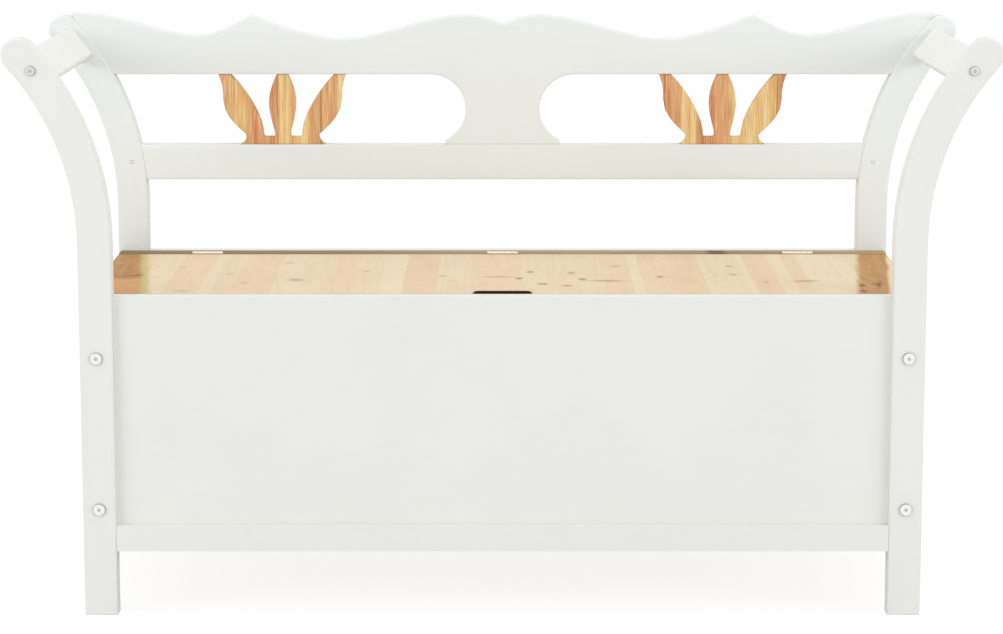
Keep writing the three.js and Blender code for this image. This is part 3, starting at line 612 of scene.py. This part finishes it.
def leafPine(name, low, high, laths):
    material, tree = startMaterial(name)
    vector = objectPlace(tree, turn=(quarter, 0, 0))
    place = put(tree, "TexCoord", output="Object")
    along = mapped(tree, place, (1, 1, 0.035))
    waver = noiseAt(tree, along, leaves["waverScale"])
    waver = span(tree, waver, 0, 1, -leaves["waver"] * mm, leaves["waver"] * mm)
    where = calc(tree, "ADD", put(tree, "SeparateXYZ", {"Vector": place}), waver)
    colour = rampOf(tree, span(tree, where, low, high),
                    [(share, linear(*pineTones[tone])) for share, tone in laths])
    lines = noiseAt(tree, along, leaves["lineScale"], 2, 0.5)
    colour = blend(tree, span(tree, lines, 0.52, 0.68, 0, leaves["lineContrast"]), colour,
                   linear(*leaves["lineTone"]))
    colour = blend(tree, span(tree, lines, 0.46, 0.34, 0, leaves["glintContrast"]), colour,
                   linear(*leaves["glintTone"]))
    return pineFinish(material, tree, colour, vector, lines)


for side in ("left", "right"):
    low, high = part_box("leaf_splat_" + side)
    piece = mergedCopy("leaf_splat_" + side, "leaf_splat_" + side + "_pine")
    smoothEdges(piece)
    dress(piece, leafPine("leaf pine " + side, low.x, high.x, leaves[side]), "pine", "frame",
          "leaf_splat_" + side)
print("bench: pine done")


# Metal
metal = {
    "spotScale": 600,
    "spotDarkness": 14,
    "scratchScale": 2200,
    "scratchDepth": 0.01,    # mm
}


def zincPlate(name, tone, roughness):
    material, tree = startMaterial(name)
    plain = objectPlace(tree)
    spots = noiseAt(tree, plain, metal["spotScale"], 3, 0.6)
    scratches = noiseAt(tree, objectPlace(tree, (1, 1, 0.1)), metal["scratchScale"])
    spotTone = [value - metal["spotDarkness"] for value in tone]
    colour = blend(tree, span(tree, spots, 0.35, 0.65), linear(*tone), linear(*spotTone))
    rough = span(tree, spots, 0.3, 0.7, roughness - 0.05, roughness + 0.08)
    normal = bumpOf(tree, scratches, metal["scratchDepth"] * mm, 0.4)
    return closeMaterial(material, colour, rough, normal, metallic=1.0)


zinc = zincPlate("bright zinc", (244, 244, 240), 0.3)
# painted shade: the armrest bolts get a darker copy of the same zinc
armrestBoltShadeZinc = zincPlate("dull zinc", (226, 226, 220), 0.36)
# painted shade: darker copies of the zinc for the bolts' edges and sockets
edgeShadeZinc = zincPlate("zinc with painted shade on the edges", (150, 150, 144), 0.4)
socketShadeZinc = zincPlate("zinc with painted shade in the sockets", (208, 208, 202), 0.4)
hingeMetal = zincPlate("hinge zinc", (236, 230, 212), 0.32)

bolt = {   # mm, modelled upright with its seat at zero
    "sides": 48,
    "sideHeadRadius": 7.8,
    "armrestHeadRadius": 5.8,
    "headThickness": 2.2,
    "headBevel": 0.8,
    "shankRadius": 3.0,
    "length": 70,
    "pointBevel": 1,
    "socketAcross": 4.2,
    "socketDepth": 1.5,
    "faceMargin": 0.1,      # tells the socket's faces from the flat of the head
    "seat": 210.3,          # distance of the seat from the middle of the bench
}
nut = {   # mm, a barrel nut
    "sides": 32,
    "radius": 5.0,
    "length": 12,
    "bevel": 0.4,
    "slotWidth": 1.4,
    "slotDepth": 1.5,
    "boreSides": 24,
    "boreRadius": 3.3,
}
armrestSlope = 37.4         # degrees
armrestTilt = quarter - math.radians(armrestSlope)


def makeBolt(headRadius):
    bpy.ops.object.select_all(action="DESELECT")
    bpy.ops.mesh.primitive_cylinder_add(
        vertices=bolt["sides"], radius=headRadius * mm, depth=bolt["headThickness"] * mm,
        location=(0, 0, bolt["headThickness"] * mm / 2))
    obj = bpy.context.active_object
    only(obj)
    bpy.ops.object.transform_apply(location=True, rotation=False, scale=False)
    selectFaces(obj, lambda face: face.normal.z > 0.9)
    bpy.ops.mesh.bevel(offset=bolt["headBevel"] * mm, segments=3, affect="EDGES")
    bpy.ops.object.mode_set(mode="OBJECT")
    selectFaces(obj, lambda face: face.normal.z < -0.9)
    bpy.ops.mesh.inset(thickness=(headRadius - bolt["shankRadius"]) * mm)
    shank = bolt["length"] - bolt["pointBevel"]
    bpy.ops.mesh.extrude_region_move(TRANSFORM_OT_translate={"value": (0, 0, -shank * mm)})
    bpy.ops.mesh.extrude_region_move(TRANSFORM_OT_translate={"value": (0, 0, -bolt["pointBevel"] * mm)})
    point = 1 - bolt["pointBevel"] / bolt["shankRadius"]
    bpy.ops.transform.resize(value=(point, point, 1))
    bpy.ops.object.mode_set(mode="OBJECT")
    bpy.ops.object.select_all(action="DESELECT")
    bpy.ops.mesh.primitive_cylinder_add(
        vertices=6, radius=bolt["socketAcross"] * mm / math.sqrt(3), depth=2 * bolt["socketDepth"] * mm,
        location=(0, 0, bolt["headThickness"] * mm))
    cutWith(obj, bpy.context.active_object)
    smoothEdges(obj, fastenerAngle)
    for face in obj.data.polygons:   # painted shade: the flat of the head keeps the head's zinc, the socket gets a grey shade, the chamfer and the rest a dark one
        margin = bolt["faceMargin"]
        inHead = margin < face.center.z / mm < bolt["headThickness"] - margin
        inSocket = inHead and face.center.xy.length / mm < bolt["socketAcross"]
        face.material_index = 2 if inSocket else 0 if face.normal.z > 0.95 else 1
    return obj


def makeNut():
    bpy.ops.object.select_all(action="DESELECT")
    bpy.ops.mesh.primitive_cylinder_add(vertices=nut["sides"], radius=nut["radius"] * mm,
                                        depth=nut["length"] * mm)
    obj = bpy.context.active_object
    selectFaces(obj, lambda face: abs(face.normal.z) > 0.9)
    bpy.ops.mesh.bevel(offset=nut["bevel"] * mm, segments=2, affect="EDGES")
    bpy.ops.object.mode_set(mode="OBJECT")
    bpy.ops.object.select_all(action="DESELECT")
    bpy.ops.mesh.primitive_cylinder_add(vertices=nut["boreSides"], radius=nut["boreRadius"] * mm,
                                        depth=4 * nut["radius"] * mm, rotation=(quarter, 0, 0))
    cutWith(obj, bpy.context.active_object)
    bpy.ops.object.select_all(action="DESELECT")
    bpy.ops.mesh.primitive_cube_add(size=1, location=(0, 0, nut["length"] * mm / 2), scale=(
        4 * nut["radius"] * mm, nut["slotWidth"] * mm, 2 * nut["slotDepth"] * mm))
    cutWith(obj, bpy.context.active_object)
    return obj


sideBoltModel = makeBolt(bolt["sideHeadRadius"])
armrestBoltModel = makeBolt(bolt["armrestHeadRadius"])
nutModel = makeNut()
smoothEdges(nutModel, fastenerAngle)
for nodeName in sorted(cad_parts):
    low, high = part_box(nodeName)
    middle = (low + high) / 2
    side = math.copysign(1, middle.x)
    tilt = -side * armrestTilt if "armrest" in nodeName else 0
    if nodeName.startswith("bolt_"):
        end = math.copysign(1, middle.y)
        spot = (middle.x, end * bolt["seat"] * mm, middle.z)
        turn = Matrix.Rotation(tilt, 4, "Y") @ Matrix.Rotation(-end * quarter, 4, "X")
        model = armrestBoltModel if tilt else sideBoltModel
        piece = placedCopy(model, nodeName + "_zinc", Matrix.Translation(spot) @ turn)
        dress(piece, [armrestBoltShadeZinc if tilt else zinc, edgeShadeZinc, socketShadeZinc], "steel", "frame", nodeName)
    elif nodeName.startswith("barrel_nut_"):
        out = math.pi if tilt else -side * quarter
        turn = Matrix.Rotation(tilt, 4, "Y") @ Matrix.Rotation(out, 4, "Y")
        piece = placedCopy(nutModel, nodeName + "_zinc", Matrix.Translation(middle) @ turn)
        dress(piece, zinc, "steel", "frame", nodeName)
    elif nodeName.startswith("hinge_") and nodeName != "hinge_rail":
        piece = mergedCopy(nodeName, nodeName + "_zinc")
        smoothEdges(piece, hingeAngle)
        dress(piece, hingeMetal, "steel", "lid" if "lid_leaf" in nodeName else "frame", nodeName)
for model in (sideBoltModel, armrestBoltModel, nutModel):
    bpy.data.objects.remove(model)


# Wood screws with a cross recess: three in each hinge leaf, three in each lid batten
screw = {   # mm, modelled upright with its top at zero
    "sides": 32,
    "radius": 2.4,
    "thickness": 0.8,
    "bevel": 0.25,
    "recessLength": 2.4,
    "recessWidth": 0.6,
    "recessDepth": 0.5,
    "proud": 0.3,
    "hingeSpacing": 14,
    "hingeBelow": 10,       # from the hinge's axis
    "plateOffset": 0.7,     # from the hinge's axis to the outer face of a leaf
    "battenScale": 1.6,
    "battenPlaces": (-380, 0, 380),
}


def makeScrew():
    bpy.ops.object.select_all(action="DESELECT")
    bpy.ops.mesh.primitive_cylinder_add(vertices=screw["sides"], radius=screw["radius"] * mm,
                                        depth=screw["thickness"] * mm,
                                        location=(0, 0, -screw["thickness"] * mm / 2))
    obj = bpy.context.active_object
    only(obj)
    bpy.ops.object.transform_apply(location=True, rotation=False, scale=False)
    selectFaces(obj, lambda face: face.normal.z > 0.9)
    bpy.ops.mesh.bevel(offset=screw["bevel"] * mm, segments=3, affect="EDGES")
    bpy.ops.object.mode_set(mode="OBJECT")
    for turn in (0, quarter):
        bpy.ops.object.select_all(action="DESELECT")
        bpy.ops.mesh.primitive_cube_add(size=1, rotation=(0, 0, turn), scale=(
            screw["recessLength"] * mm, screw["recessWidth"] * mm, 2 * screw["recessDepth"] * mm))
        cutWith(obj, bpy.context.active_object)
    smoothEdges(obj, fastenerAngle)
    return obj


screwModel = makeScrew()
for place in ("left", "middle", "right"):
    for leaf, body, toward in (("fixed", "frame", -1), ("lid", "lid", 1)):
        pinLow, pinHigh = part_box("hinge_pin_" + place)
        axis = (pinLow + pinHigh) / 2
        plateFace = axis.y - toward * screw["plateOffset"] * mm
        for number in (-1, 0, 1):
            spot = (axis.x + number * screw["hingeSpacing"] * mm, plateFace + toward * screw["proud"] * mm,
                    axis.z - screw["hingeBelow"] * mm)
            matrix = Matrix.Translation(spot) @ Matrix.Rotation(-toward * quarter, 4, "X")
            piece = placedCopy(screwModel, f"hinge_screw_{leaf}_{place}_{number + 2}", matrix)
            dress(piece, zinc, "steel", body)
for end in ("front", "rear"):
    low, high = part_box("lid_batten_" + end)
    for number, x in enumerate(screw["battenPlaces"]):
        spot = (x * mm, (low.y + high.y) / 2, low.z - screw["proud"] * mm / 2)
        matrix = (Matrix.Translation(spot) @ Matrix.Rotation(math.pi, 4, "X")
                  @ Matrix.Scale(screw["battenScale"], 4))
        piece = placedCopy(screwModel, f"batten_screw_{end}_{number + 1}", matrix)
        dress(piece, zinc, "steel", "lid")
bpy.data.objects.remove(screwModel)
print("bench: metal done")


# Stage
def whiteSeen(tree, seen, unseen):
    path = tree.nodes.new("ShaderNodeLightPath")
    direct = calc(tree, "MAXIMUM", path.outputs["Is Camera Ray"], path.outputs["Is Glossy Ray"])
    either = calc(tree, "MAXIMUM", direct, path.outputs["Is Transmission Ray"])
    return put(tree, "MixShader", {0: either, 1: unseen, 2: seen})


stage = {
    "floorSize": 30,
    "floorColour": 0.8,
    "floorSeen": 0.2,       # how much of the floor's shade is seen
    "floorGlow": 0.86,      # white added to it
    "skyLight": 0.66,
}


def makeFloor():
    bpy.ops.object.select_all(action="DESELECT")
    bpy.ops.mesh.primitive_plane_add(size=stage["floorSize"], location=(0, 0, 0))
    floor = bpy.context.active_object
    floor.name = "floor"
    material, tree = startMaterial("pale floor")
    tree.nodes.clear()
    real = put(tree, "BsdfDiffuse", {"Color": grey(stage["floorColour"])})
    shade = put(tree, "BsdfDiffuse", {"Color": grey(stage["floorSeen"])})
    glow = put(tree, "Emission", {"Color": grey(1), "Strength": stage["floorGlow"]})
    seen = put(tree, "AddShader", {0: shade, 1: glow})
    out = tree.nodes.new("ShaderNodeOutputMaterial")
    tree.links.new(whiteSeen(tree, seen, real), out.inputs["Surface"])
    floor.data.materials.append(material)


def makeSky():
    world = bpy.data.worlds.new("studio")
    scene.world = world
    world.use_nodes = True
    tree = world.node_tree
    tree.nodes.clear()
    seen = put(tree, "Background", {"Color": grey(1), "Strength": 1.0})
    unseen = put(tree, "Background", {"Color": grey(1), "Strength": stage["skyLight"]})
    out = tree.nodes.new("ShaderNodeOutputWorld")
    tree.links.new(whiteSeen(tree, seen, unseen), out.inputs["Surface"])


def softbox(name, place, target, size, power):
    light = bpy.data.lights.new(name, "AREA")
    light.shape = "RECTANGLE"
    light.size, light.size_y = size
    light.energy = power
    obj = bpy.data.objects.new(name, light)
    obj.location = place
    obj.rotation_euler = (Vector(target) - Vector(place)).to_track_quat("-Z", "Y").to_euler()
    scene.collection.objects.link(obj)


makeFloor()
makeSky()
lamps = {   # place, target and size in metres, power in watts
    "key": ((-3.7, -2.5, 1.8), (0, 0, 0.45), (2.6, 2.0), 54),
    "fill": ((3.7, -2.5, 1.8), (0, 0, 0.45), (2.6, 2.0), 54),
    "top": ((0, -0.3, 3.2), (0, 0, 0.4), (3.0, 2.4), 24),
}
for name, values in lamps.items():
    softbox(name, *values)

camera = {
    "place": (0, -3.806, 1.032),
    "pitch": 8.91,          # degrees
    "lens": 103.3,          # mm
    "shift": (-0.001, -0.06),
}
lens = bpy.data.cameras.new("camera")
lens.lens = camera["lens"]
lens.shift_x, lens.shift_y = camera["shift"]
view = bpy.data.objects.new("camera", lens)
view.location = camera["place"]
view.rotation_euler = (math.radians(90 - camera["pitch"]), 0, 0)
scene.collection.objects.link(view)
scene.camera = view

scene.view_settings.view_transform = "Standard"
print("bench: stage and camera done")
